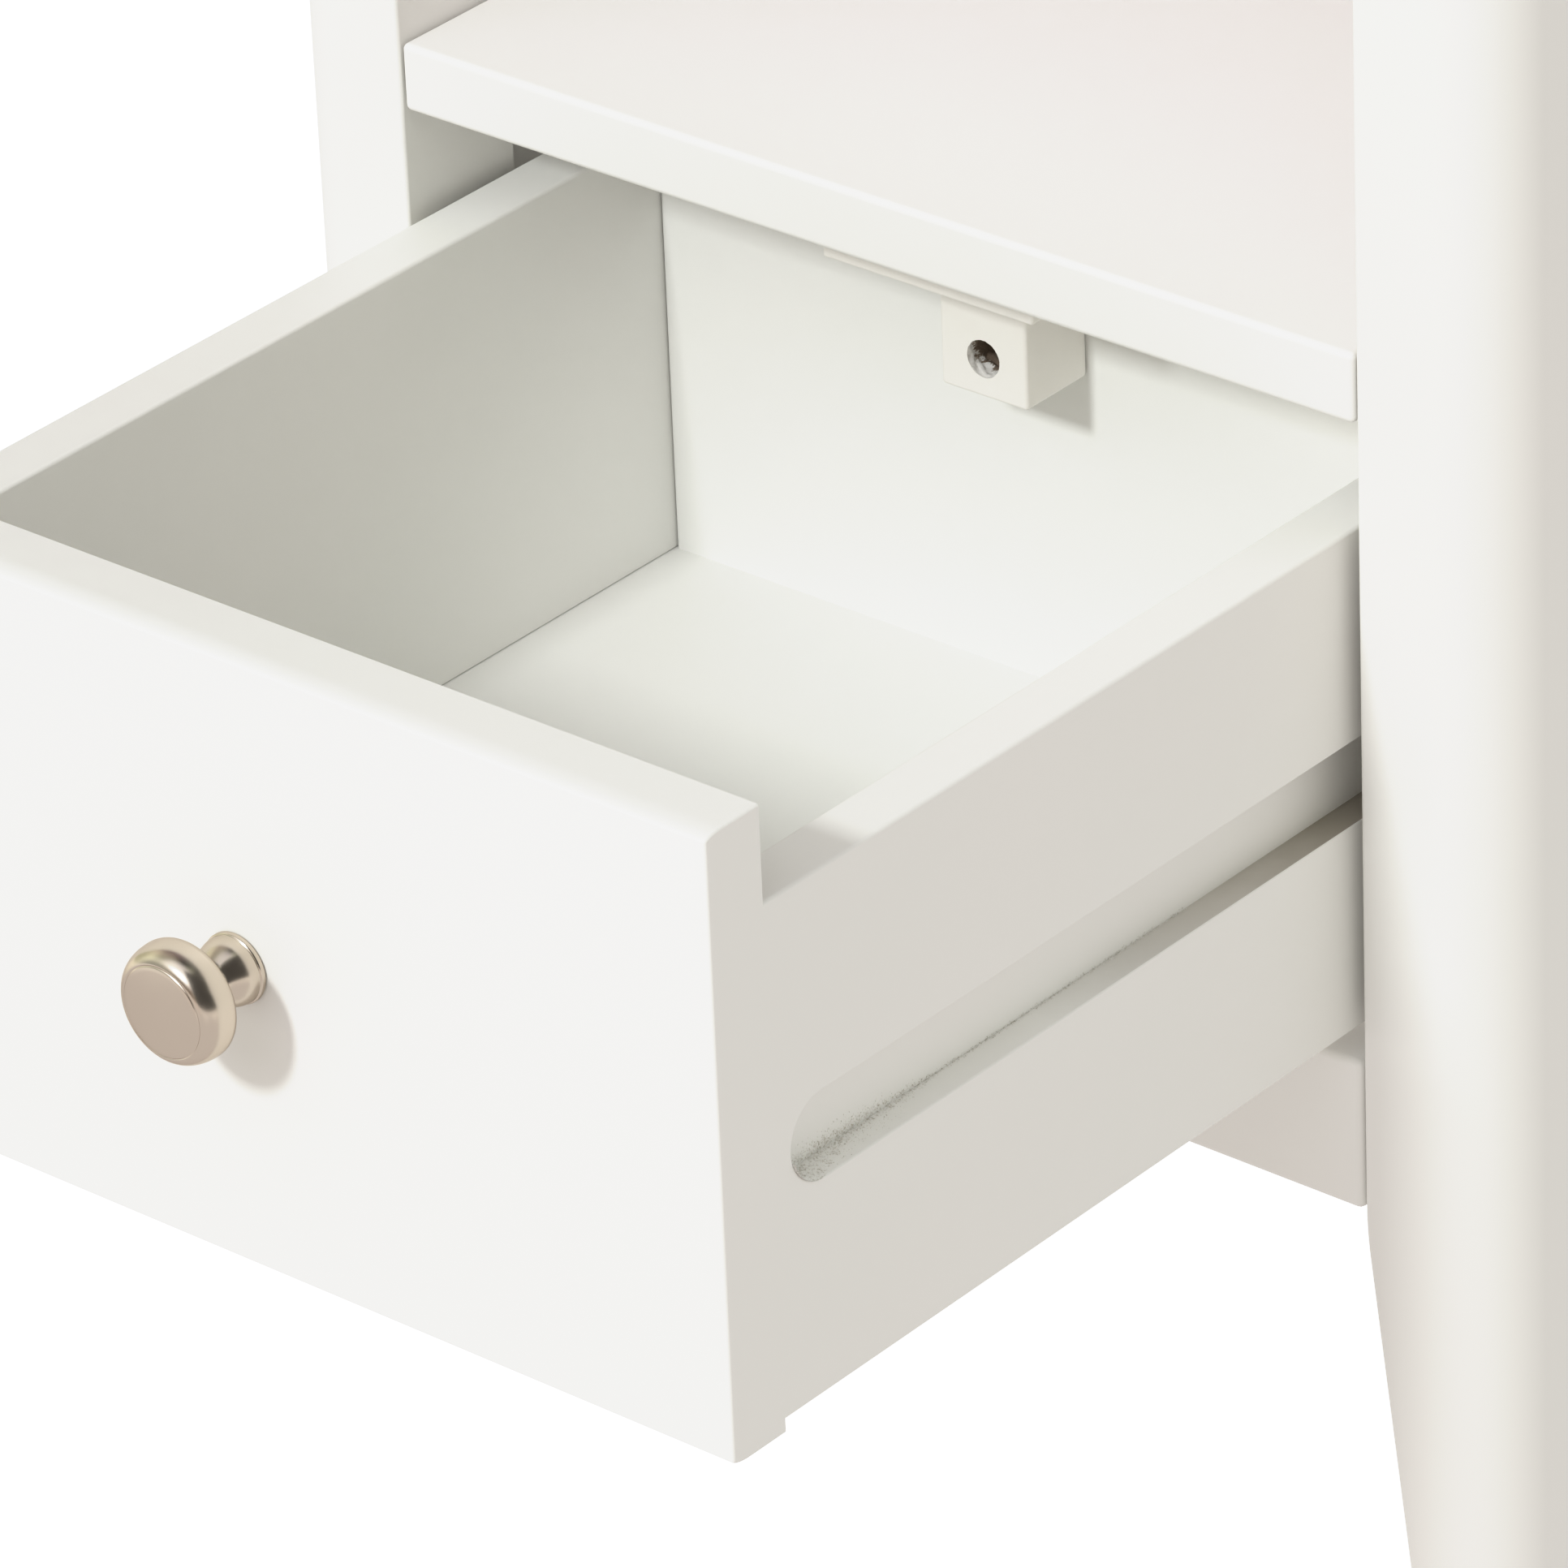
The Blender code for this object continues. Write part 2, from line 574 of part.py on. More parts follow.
def turning_stop(back, drawer):
    """A block held by one screw, which turns aside to let the drawer be lifted out."""
    axis = Vector((STOP_X, BACK_Y - GAP, STOP_PIVOT))
    half = STOP_WIDTH / 2
    pivot = bpy.data.objects.new("stop_pivot", None)
    pivot.location = axis
    pivot.parent = drawer
    bpy.context.scene.collection.objects.link(pivot)
    low = (-half, -STOP_DEPTH, STOP_BOTTOM - STOP_PIVOT)
    high = (half, 0, STOP_BOTTOM + STOP_HEIGHT - STOP_PIVOT)
    piece = block("stop_block", low, high, WHITE, ease=0.6 * mm, parent=pivot)
    shank, head, head_height = 2.2 * mm, 4.2 * mm, 3 * mm
    wide, narrow = STOP_HOLE / 2, shank + HOLE_GAP
    past = 2 * mm
    bore = [(0, -past), (wide, -past), (wide, STOP_HOLE_DEPTH), (narrow, STOP_HOLE_DEPTH)]
    bore += [(narrow, STOP_DEPTH + past), (0, STOP_DEPTH + past)]
    cut(piece, turned("hole_stop", bore, (0, -STOP_DEPTH, 0), (0, 1, 0), parent=pivot, sides=24))
    start = axis - Vector((0, STOP_DEPTH - STOP_HOLE_DEPTH + GAP + head_height, 0))
    length = 24 * mm
    profile = [(0, 0), (head - 0.8 * mm, 0), (head, 1 * mm), (head, head_height), (shank, head_height)]
    profile += [(shank, length - 4 * mm), (0.3 * mm, length), (0, length)]
    turned("stop_screw", profile, start, (0, 1, 0), ZINC, drawer)
    socket = [(0, 0), (narrow, 0), (narrow, length + GAP), (0, length + GAP)]
    cut(back, turned("hole_stop_back", socket, start, (0, 1, 0), parent=drawer, sides=12))


def build():
    clear_scene()
    frame = legs()
    for side in (-1, 1):
        side_panel(side, frame)
    back_panel(frame)
    rail("front_rail", FRONT, frame, False, (10.5 * mm, 30.5 * mm))
    rail("rear_rail", BACK_PANEL_Y - GAP - BOARD, frame, True, (20.5 * mm,))
    shelf_piece = shelf(frame)
    top_cleats(top_panel())
    runners(frame)
    stop_batten(shelf_piece)

    drawer = drawer_frame()
    front = drawer_front(drawer)
    sides = {side: drawer_side(side, front, drawer) for side in (-1, 1)}
    back = drawer_back(sides, drawer)
    drawer_floor(drawer)
    knob(front, drawer)
    turning_stop(back, drawer)


build()
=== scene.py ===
"""Looks of the bedside table: fine meshes for every board and fitting, their materials, light and camera."""

import json
import math
import random

import bmesh
import bpy
from mathutils import Matrix, Vector, noise


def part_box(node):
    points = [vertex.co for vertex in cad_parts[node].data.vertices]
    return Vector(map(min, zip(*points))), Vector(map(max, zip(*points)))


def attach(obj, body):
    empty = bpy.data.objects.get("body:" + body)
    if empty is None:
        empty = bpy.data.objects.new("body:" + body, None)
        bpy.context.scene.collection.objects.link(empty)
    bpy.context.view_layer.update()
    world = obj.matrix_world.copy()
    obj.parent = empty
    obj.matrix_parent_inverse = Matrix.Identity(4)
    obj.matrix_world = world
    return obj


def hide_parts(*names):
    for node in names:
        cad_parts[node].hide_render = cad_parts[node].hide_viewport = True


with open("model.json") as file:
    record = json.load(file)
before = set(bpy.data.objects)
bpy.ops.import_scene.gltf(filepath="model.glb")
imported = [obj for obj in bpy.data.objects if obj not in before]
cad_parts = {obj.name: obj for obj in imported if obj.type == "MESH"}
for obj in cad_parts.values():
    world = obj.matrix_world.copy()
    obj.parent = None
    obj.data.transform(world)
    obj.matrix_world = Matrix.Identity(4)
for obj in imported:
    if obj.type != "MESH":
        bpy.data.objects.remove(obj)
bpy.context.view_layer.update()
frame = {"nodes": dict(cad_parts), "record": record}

MM = 0.001
BODY_OF = {node: body for body, nodes in frame["record"]["behaviour"]["bodies"].items() for node in nodes}
SIDES = ((-1, "left"), (1, "right"))

# Camera: where it looks from, and how far it zooms in
CAMERA_PLACE = (1.4216, -1.7310, 1.4410)
CAMERA_AZIMUTH, CAMERA_ELEVATION, CAMERA_ROLL = 40.81, 29.19, -2.445
CAMERA_LENS, CAMERA_SENSOR = 239.24, 36.0

FIT_GAP = 0.3 * MM  # between neighbouring boards
SHARP_ANGLE = 50  # degrees between faces, over which an edge is an edge

# Rounding of edges
BOARD_ROUND = 1.0 * MM
SHELF_ROUND = 1.7 * MM
RAIL_ROUND = 2.0 * MM
END_GAP = 0.5 * MM  # what the paint leaves open at the shelf's and the rail's ends, beyond the fitting gap
TOP_ROUND = 3.2 * MM
THIN_ROUND = 0.8 * MM
FRONT_CROWN = Vector((6.0, 1.7)) * MM  # depth and height of the drawer front's soft upper and lower edges
LEG_EASE = 1.0 * MM

# Places that several pieces share, read from the frame
LEG_LOW, LEG_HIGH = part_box("leg_front_right")
LEG_SIZE = LEG_HIGH.x - LEG_LOW.x
TAPER_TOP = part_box("front_rail")[0].z + 2 * MM
TAPER_BLEND = 14 * MM
FOOT_SIZE = 22.5 * MM
LEG_ROUND = 20 * MM
SIDE_LOW, SIDE_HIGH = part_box("drawer_side_right")
FRONT_LOW, FRONT_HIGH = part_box("drawer_front")
SLOT_DEPTH = 8 * MM
SLOT_HEIGHT = 22 * MM
SLOT_MIDDLE = (SIDE_LOW.z + SIDE_HIGH.z) / 2
SLOT_FRONT = FRONT_HIGH.y + 6 * MM
SHADE_START, SHADE_END = SLOT_FRONT + 86.2 * MM, LEG_LOW.y + 3.2 * MM  # where the painted shade on the ledge starts, and where it is deepest, at the leg


# Node materials


class Look:
    """A material under construction: its nodes, and the object's own coordinates."""

    def __init__(self, name, roughness, metallic=0.0, specular=0.5):
        self.material = bpy.data.materials.new(name)
        self.material.use_nodes = True
        self.nodes = self.material.node_tree.nodes
        self.links = self.material.node_tree.links
        self.shader = self.nodes["Principled BSDF"]
        self.shader.inputs["Roughness"].default_value = roughness
        self.shader.inputs["Metallic"].default_value = metallic
        self.shader.inputs["Specular IOR Level"].default_value = specular
        self.place = self.nodes.new("ShaderNodeTexCoord").outputs["Object"]

    def node(self, kind, settings=(), **inputs):
        made = self.nodes.new(kind)
        for key, value in dict(settings).items():
            setattr(made, key, value)
        for key, value in inputs.items():
            socket = made.inputs[key.replace("_", " ")]
            if isinstance(value, bpy.types.NodeSocket):
                self.links.new(value, socket)
            else:
                socket.default_value = value
        return made

    def noise(self, scale, detail=2.0, roughness=0.5, stretch=(1, 1, 1)):
        place = self.node("ShaderNodeMapping", Vector=self.place, Scale=stretch).outputs[0]
        made = self.node("ShaderNodeTexNoise", Vector=place, Scale=scale, Detail=detail, Roughness=roughness)
        return made.outputs["Fac"]

    def along(self, axis, low, high):
        """0 to 1 from low to high along one of the object's axes."""
        place = self.node("ShaderNodeSeparateXYZ", Vector=self.place).outputs[axis]
        limits = {"From Min": low, "From Max": high}
        return self.node("ShaderNodeMapRange", Value=place, **limits).outputs[0]

    def sum(self, first, second, share):
        """first + share * second"""
        made = self.node("ShaderNodeMath", {"operation": "MULTIPLY_ADD"})
        self.links.new(second, made.inputs[0])
        made.inputs[1].default_value = share
        self.links.new(first, made.inputs[2])
        return made.outputs[0]

    def ramp(self, factor, *stops):
        """Stops are (position, colour); a plain number stands for a grey."""
        made = self.node("ShaderNodeValToRGB", Fac=factor)
        elements = made.color_ramp.elements
        while len(elements) < len(stops):
            elements.new(0.5)
        for element, (position, colour) in zip(elements, stops):
            element.position = position
            element.color = (*colour, 1) if isinstance(colour, tuple) else (colour, colour, colour, 1)
        return made.outputs["Color"]

    def colour(self, socket):
        self.links.new(socket, self.shader.inputs["Base Color"])

    def rough(self, socket):
        self.links.new(socket, self.shader.inputs["Roughness"])

    def bump(self, *heights):
        """Each height is (socket, strength, distance); they add up."""
        normal = None
        for socket, strength, distance in heights:
            inputs = {"Height": socket, "Strength": strength, "Distance": distance}
            if normal:
                inputs["Normal"] = normal
            normal = self.node("ShaderNodeBump", **inputs).outputs["Normal"]
        self.links.new(normal, self.shader.inputs["Normal"])


def tinted(colour, tint):
    return tuple(part * share for part, share in zip(colour, tint))


def white_paint(name="white_satin_paint", tint=(1, 1, 1)):
    """Sprayed satin paint: a faint orange peel, and whites that differ a little from place to place."""
    look = Look(name, 0.42, specular=0.4)
    drift = look.noise(7.0, 2.0, 0.6)
    cool, warm = tinted((0.860, 0.861, 0.831), tint), tinted((0.869, 0.862, 0.834), tint)
    look.colour(look.ramp(drift, (0.35, cool), (0.65, warm)))
    look.rough(look.ramp(look.noise(160.0, 3.0), (0.3, 0.38), (0.7, 0.50)))
    look.bump((look.noise(850.0, 2.0), 0.10, 0.05 * MM), (look.noise(60.0, 2.0), 0.10, 0.12 * MM))
    return look.material


def raw_paint():
    """Paint soaked into cut fibreboard: matt, peppered with bare fibre."""
    look = Look("paint_on_cut_fibreboard", 0.85, specular=0.2)
    pepper = look.noise(1900.0, 3.0, 0.75)
    bare, damp, dry = (0.46, 0.43, 0.37), (0.70, 0.68, 0.63), (0.88, 0.875, 0.85)
    look.colour(look.ramp(pepper, (0.34, bare), (0.44, damp), (0.54, dry)))
    look.bump((look.noise(3000.0, 3.0, 0.7), 0.7, 0.12 * MM))
    return look.material


def ledge_paint_and_shade(start, end):
    """Paint on the groove's ledge: full near the drawer's front, then painted shade, greyer and browner,
    deepening towards the leg.
    """
    look = Look("ledge_paint_with_painted_shade", 0.6, specular=0.2)
    # The greyer and browner colours towards the leg are painted shade, where the leg shuts out the light.
    inward = look.sum(look.along(1, start, end), look.noise(120.0, 3.0), 0.12)
    full, grey = (0.865, 0.862, 0.832), (0.67, 0.655, 0.62)
    tan, brown = (0.58, 0.555, 0.51), (0.36, 0.33, 0.28)
    look.colour(look.ramp(inward, (0.12, full), (0.42, grey), (0.68, tan), (1.00, brown)))
    look.bump((look.noise(850.0, 2.0), 0.10, 0.05 * MM))
    return look.material


def hole_paint_and_shade(mouth, low, high):
    """A drilled hole: painted, torn fibre low down at its mouth, and darker brown above and further in,
    partly bare fibreboard and partly painted shade inside the hole.
    """
    look = Look("paint_and_painted_shade_in_hole", 0.7, specular=0.25)
    torn = look.noise(700.0, 4.0, 0.65, (1.3, 0.6, 1.3))
    # Darker further in and higher up: partly bare fibreboard, partly painted shade; the height term shades
    # the upper wall.
    inward = look.along(1, mouth - 2 * MM, mouth + 12 * MM)
    depth = look.sum(look.sum(inward, torn, 0.85), look.along(2, low, high), 0.30)
    bare, stained, painted = (0.20, 0.15, 0.11), (0.42, 0.36, 0.30), (0.93, 0.91, 0.88)
    look.colour(look.ramp(depth, (0.89, painted), (0.94, stained), (1.00, bare)))
    look.bump((torn, 0.5, 0.4 * MM))
    return look.material


def satin_nickel():
    """Plated over a satin ground: a soft and even reflection that hardly varies."""
    look = Look("satin_nickel", 0.23, metallic=1.0)
    cloud = look.noise(45.0, 2.0, 0.5)
    look.colour(look.ramp(cloud, (0.3, (0.655, 0.578, 0.484)), (0.7, (0.675, 0.598, 0.504))))
    look.rough(look.ramp(look.noise(260.0, 2.0), (0.3, 0.205), (0.7, 0.235)))
    look.shader.inputs["Specular Tint"].default_value = (0.74, 0.70, 0.67, 1)
    return look.material


def zinc():
    look = Look("zinc_plated_steel", 0.35, metallic=1.0)
    cloud = look.noise(300.0, 4.0, 0.6)
    look.colour(look.ramp(cloud, (0.3, (0.46, 0.47, 0.47)), (0.7, (0.62, 0.61, 0.57))))
    look.rough(look.ramp(look.noise(700.0, 3.0), (0.3, 0.28), (0.7, 0.46)))
    look.bump((look.noise(2600.0, 2.0), 0.15, 0.03 * MM))
    return look.material


def beech(name, stretch):
    """Bare beech, its grain along the axis where stretch is small."""
    look = Look(name, 0.6, specular=0.3)
    grain = look.noise(600.0, 4.0, 0.6, stretch)
    flecks = look.noise(1900.0, 2.0, 0.5, stretch)
    dark, middle, pale = (0.50, 0.33, 0.18), (0.62, 0.44, 0.27), (0.70, 0.52, 0.34)
    look.colour(look.ramp(grain, (0.3, dark), (0.55, middle), (0.8, pale)))
    look.bump((flecks, 0.4, 0.05 * MM))
    return look.material


def moulded_plastic():
    look = Look("moulded_nylon", 0.5)
    look.colour(look.ramp(look.noise(90.0, 2.0), (0.3, (0.76, 0.76, 0.73)), (0.7, (0.80, 0.80, 0.77))))
    look.rough(look.ramp(look.noise(1200.0, 2.0), (0.3, 0.44), (0.7, 0.58)))
    look.bump((look.noise(2200.0, 2.0), 0.12, 0.03 * MM))
    return look.material


PAINT, RAW = white_paint(), raw_paint()
HOLE_SHADED = hole_paint_and_shade(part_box("stop_block")[0].y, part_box("stop_screw")[0].z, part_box("stop_screw")[1].z)
LEDGE_SHADE = ledge_paint_and_shade(SHADE_START, SHADE_END)
# A warmer, slightly lighter white for the stop block and batten: partly their own paint on raw wood, partly
# painted light that lifts the block's shaded side.
CREAM_LIFTED = white_paint("warm_paint_on_raw_wood_lightened", (1.045, 1.02, 1.0))
NICKEL, ZINC, PLASTIC = satin_nickel(), zinc(), moulded_plastic()
BEECH_X = beech("beech_along_x", (0.12, 1, 1))
BEECH_Y = beech("beech_along_y", (1, 0.12, 1))


# Mesh tools


def arc(centre, radius, start, end, steps):
    """Points on a circle, from angle start to angle end in degrees."""
    for i in range(steps + 1):
        angle = math.radians(start + (end - start) * i / steps)
        yield centre[0] + radius * math.cos(angle), centre[1] + radius * math.sin(angle)


def quarter(centre, reach, start, steps):
    """A quarter of an ellipse, from angle start in degrees and anticlockwise; reach holds its half axes."""
    for i in range(steps + 1):
        angle = math.radians(start + 90 * i / steps)
        yield centre[0] + reach[0] * math.cos(angle), centre[1] + reach[1] * math.sin(angle)


def curve(p0, p1, p2, p3, steps):
    """Points on a cubic curve, without its first point."""
    corners = [Vector(point) for point in (p0, p1, p2, p3)]
    for i in range(1, steps + 1):
        t = i / steps
        shares = ((1 - t) ** 3, 3 * (1 - t) ** 2 * t, 3 * (1 - t) * t**2, t**3)
        yield tuple(sum((corner * share for corner, share in zip(corners, shares)), Vector((0, 0))))


def box_mesh(low, high):
    mesh = bmesh.new()
    bmesh.ops.create_cube(mesh, size=1)
    bmesh.ops.scale(mesh, vec=high - low, verts=mesh.verts)
    bmesh.ops.translate(mesh, vec=(low + high) / 2, verts=mesh.verts)
    return mesh


def loft(rings, closed_ends=True):
    """Rings of equally many points, joined one to the next."""
    mesh = bmesh.new()
    made = [[mesh.verts.new(point) for point in ring] for ring in rings]
    for first, second in zip(made, made[1:]):
        for i in range(len(first)):
            j = (i + 1) % len(first)
            mesh.faces.new((first[i], first[j], second[j], second[i]))
    if closed_ends:
        mesh.faces.new(made[0])
        mesh.faces.new(made[-1])
    bmesh.ops.recalc_face_normals(mesh, faces=mesh.faces)
    return mesh


def prism(outline, axis, low, high):
    """An outline extruded along one axis. Its points are in the other two axes."""
    others = [i for i in range(3) if i != axis]
    rings = []
    for level in (low, high):
        ring = []
        for first, second in outline:
            point = Vector((0, 0, 0))
            point[axis], point[others[0]], point[others[1]] = level, first, second
            ring.append(point)
        rings.append(ring)
    return loft(rings)


def soften(mesh, radius, segments=4, chosen=None):
    """Rounds the sharp outward edges, or those of them that are chosen."""
    limit = math.radians(SHARP_ANGLE)
    edges = [
        edge
        for edge in mesh.edges
        if edge.is_manifold
        and edge.is_convex
        and edge.calc_face_angle(0) > limit
        and (chosen is None or chosen(edge))
    ]
    bmesh.ops.bevel(
        mesh, geom=edges, offset=radius, segments=segments, profile=0.5, affect="EDGES", clamp_overlap=True
    )
    return mesh


def turned(profile, place, direction, sides=64, wobble=None):
    """(radius, distance) points turned about direction, from place; wobble scales the radius."""
    turn = Vector((0, 0, 1)).rotation_difference(Vector(direction)).to_matrix()
    mesh = bmesh.new()
    rings = []
    for radius, distance in profile:
        if radius == 0:
            rings.append([mesh.verts.new(turn @ Vector((0, 0, distance)) + Vector(place))])
            continue
        ring = []
        for i in range(sides):
            angle = 2 * math.pi * i / sides
            reach = radius * (wobble(angle, distance) if wobble else 1)
            point = Vector((reach * math.cos(angle), reach * math.sin(angle), distance))
            ring.append(mesh.verts.new(turn @ point + Vector(place)))
        rings.append(ring)
    for first, second in zip(rings, rings[1:]):
        for i in range(sides):
            j = (i + 1) % sides
            corners = [ring[k % len(ring)] for ring, k in ((first, i), (first, j), (second, j), (second, i))]
            mesh.faces.new(list(dict.fromkeys(corners)))
    bmesh.ops.recalc_face_normals(mesh, faces=mesh.faces)
    return mesh


def new_object(name, mesh):
    data = bpy.data.meshes.new(name)
    mesh.to_mesh(data)
    mesh.free()
    obj = bpy.data.objects.new(name, data)
    bpy.context.scene.collection.objects.link(obj)
    return obj


def carve(obj, cutters):
    """Takes each cutter mesh out of obj, for good."""
    helpers = [new_object("cutter", cutter) for cutter in cutters]
    for helper in helpers:
        modifier = obj.modifiers.new("cut", "BOOLEAN")
        modifier.object = helper
        modifier.operation = "DIFFERENCE"
        modifier.solver = "EXACT"
    bpy.context.view_layer.update()
    graph = bpy.context.evaluated_depsgraph_get()
    result = bpy.data.meshes.new_from_object(obj.evaluated_get(graph), depsgraph=graph)
    obj.modifiers.clear()
    obj.data = result
    for helper in helpers:
        bpy.data.objects.remove(helper)


def finish(obj, material, body, nodes=(), flat_faces=True):
    """Shades, colours and mounts a piece, and hides the CAD nodes that it stands for."""
    if material:
        obj.data.materials.clear()
        obj.data.materials.append(material)
    obj.data.shade_smooth()
    if flat_faces:
        obj.data.set_sharp_from_angle(angle=math.radians(SHARP_ANGLE))
        normals = obj.modifiers.new("flat faces", "WEIGHTED_NORMAL")
        normals.keep_sharp = True
        normals.weight = 90
    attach(obj, body)
    if nodes:
        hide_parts(*nodes)
    return obj


def stand_in(node, mesh, material=None, cutters=(), flat_faces=True):
    """A finer piece in the place of one CAD node, painted white unless it has a material of its own."""
    obj = new_object(node + "_fine", mesh)
    if cutters:
        carve(obj, cutters)
    return finish(obj, material or PAINT, BODY_OF[node], (node,), flat_faces)


def grown(node):
    """The box of a node with the fitting gap round it, to cut its seat out of a neighbour."""
    low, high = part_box(node)
    room = Vector((FIT_GAP, FIT_GAP, FIT_GAP))
    return box_mesh(low - room, high + room)


# Frame


def plain_boards():
    rounds = {
        "back_panel": THIN_ROUND,
        "front_rail": RAIL_ROUND,
        "rear_rail": RAIL_ROUND,
        "side_panel_left": THIN_ROUND,
        "side_panel_right": THIN_ROUND,
        "top_cleat_left": BOARD_ROUND,
        "top_cleat_right": BOARD_ROUND,
        "stop_batten": THIN_ROUND,
        "drawer_back": BOARD_ROUND,
        "drawer_bottom": 0.4 * MM,
    }
    for node, radius in rounds.items():
        low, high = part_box(node)
        if node == "front_rail":
            low.x, high.x = low.x + END_GAP, high.x - END_GAP
        if node == "drawer_back":
            low.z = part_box("drawer_bottom")[1].z  # paint closes this joint

        def is_rounded(edge):
            return node != "drawer_back" or any(vertex.co.z > low.z + MM for vertex in edge.verts)

        mesh = soften(box_mesh(low, high), radius, chosen=is_rounded)
        stand_in(node, mesh, CREAM_LIFTED if node == "stop_batten" else PAINT)


def leg_inset(height):
    """How far a leg's inner faces have drawn back at this height: straight, then a smooth start."""
    below = TAPER_TOP - height
    slope = (LEG_SIZE - FOOT_SIZE) / (TAPER_TOP - LEG_LOW.z - TAPER_BLEND / 2)
    if below <= 0:
        return 0.0
    if below < TAPER_BLEND:
        return slope * below**2 / (2 * TAPER_BLEND)
    return slope * (below - TAPER_BLEND / 2)


def leg_outline(width, ease):
    """Half-round outer corner at the origin, and three eased corners, in the quadrant away from it."""
    far = width - ease
    outline = list(arc((LEG_ROUND, LEG_ROUND), LEG_ROUND, 180, 270, 28))
    outline += arc((far, ease), ease, 270, 360, 4)
    outline += arc((far, far), ease, 0, 90, 4)
    outline += arc((ease, far), ease, 90, 180, 4)
    return outline


def legs():
    """Tapered on their two inner faces below the rail, with a small chamfer round both ends."""
    chamfer = 0.8 * MM
    levels = [LEG_HIGH.z, LEG_HIGH.z - chamfer, TAPER_TOP]
    levels += [TAPER_TOP - TAPER_BLEND * i / 8 for i in range(1, 9)]
    levels += [LEG_LOW.z + chamfer, LEG_LOW.z]
    for front_word in ("front", "rear"):
        for side, word in SIDES:
            node = f"leg_{front_word}_{word}"
            low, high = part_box(node)
            rear = front_word == "rear"
            corner = Vector((high.x if side > 0 else low.x, high.y if rear else low.y, 0))
            inward = Vector((-side, -1 if rear else 1, 0))
            rings = []
            for i, level in enumerate(levels):
                pinch = chamfer if i in (0, len(levels) - 1) else 0.0
                outline = leg_outline(LEG_SIZE - leg_inset(level), LEG_EASE)
                middle = (LEG_SIZE - leg_inset(level)) / 2
                shrink = 1 - pinch / middle
                ring = []
                for u, v in outline:
                    u, v = middle + (u - middle) * shrink, middle + (v - middle) * shrink
                    ring.append(corner + Vector((u * inward.x, v * inward.y, level)))
                rings.append(ring)
            cutters = [grown("side_panel_" + word)]
            if rear:
                cutters.append(grown("back_panel"))
            stand_in(node, loft(rings), cutters=cutters)


def shelf():
    """Notched round the legs, with soft front edges."""
    low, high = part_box("shelf")
    first, last = LEG_LOW.y + LEG_SIZE + FIT_GAP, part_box("leg_rear_right")[0].y - FIT_GAP
    narrow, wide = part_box("front_rail")[1].x - END_GAP, high.x
    right = [(narrow, low.y), (narrow, first), (wide, first), (wide, last), (narrow, last), (narrow, high.y)]
    outline = right + [(-x, y) for x, y in reversed(right)]
    stand_in("shelf", soften(prism(outline, 2, low.z, high.z), SHELF_ROUND, 5))


def top_panel():
    """Its front corners are rounder than its rear ones."""
    low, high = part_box("top_panel")
    front, rear = 28 * MM, 20 * MM
    outline = []
    outline += arc((high.x - front, low.y + front), front, -90, 0, 24)
    outline += arc((high.x - rear, high.y - rear), rear, 0, 90, 20)
    outline += arc((low.x + rear, high.y - rear), rear, 90, 180, 20)
    outline += arc((low.x + front, low.y + front), front, 180, 270, 24)
    stand_in("top_panel", soften(prism(outline, 2, low.z, high.z), TOP_ROUND, 6))


def runners():
    """Each has a round nose, which fits the round end of the drawer's groove."""
    for _, word in SIDES:
        node = "drawer_runner_" + word
        low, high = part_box(node)
        nose = (high.z - low.z) / 2
        middle = (high.z + low.z) / 2
        outline = list(arc((low.y + nose, middle), nose, 270, 90, 24)) + [(high.y, high.z), (high.y, low.z)]
        stand_in(node, soften(prism(outline, 0, low.x, high.x), 0.9 * MM, 3))


# Drawer


def drawer_front():
    """Soft upper and lower front edges, and ends that meet the drawer sides under one coat of paint."""
    low, high = FRONT_LOW, FRONT_HIGH
    depth, height = FRONT_CROWN
    outline = list(quarter((low.y + depth, high.z - height), FRONT_CROWN, 90, 14))
    outline += quarter((low.y + depth, low.z + height), FRONT_CROWN, 180, 14)
    outline += [(high.y, low.z), (high.y, high.z)]

    def at_front(edge):
        return any(vertex.co.y < high.y - MM for vertex in edge.verts)

    mesh = soften(prism(outline, 0, low.x, high.x), 1.0 * MM, 5, at_front)
    stand_in("drawer_front", mesh, cutters=[grown("drawer_bottom")])


def slot_outline():
    """The runner's groove in the drawer side, round at its front and open behind."""
    radius = SLOT_HEIGHT / 2
    past = SIDE_HIGH.y + 5 * MM
    outline = list(arc((SLOT_FRONT + radius, SLOT_MIDDLE), radius, 270, 90, 32))
    return outline + [(past, SLOT_MIDDLE + radius), (past, SLOT_MIDDLE - radius)]


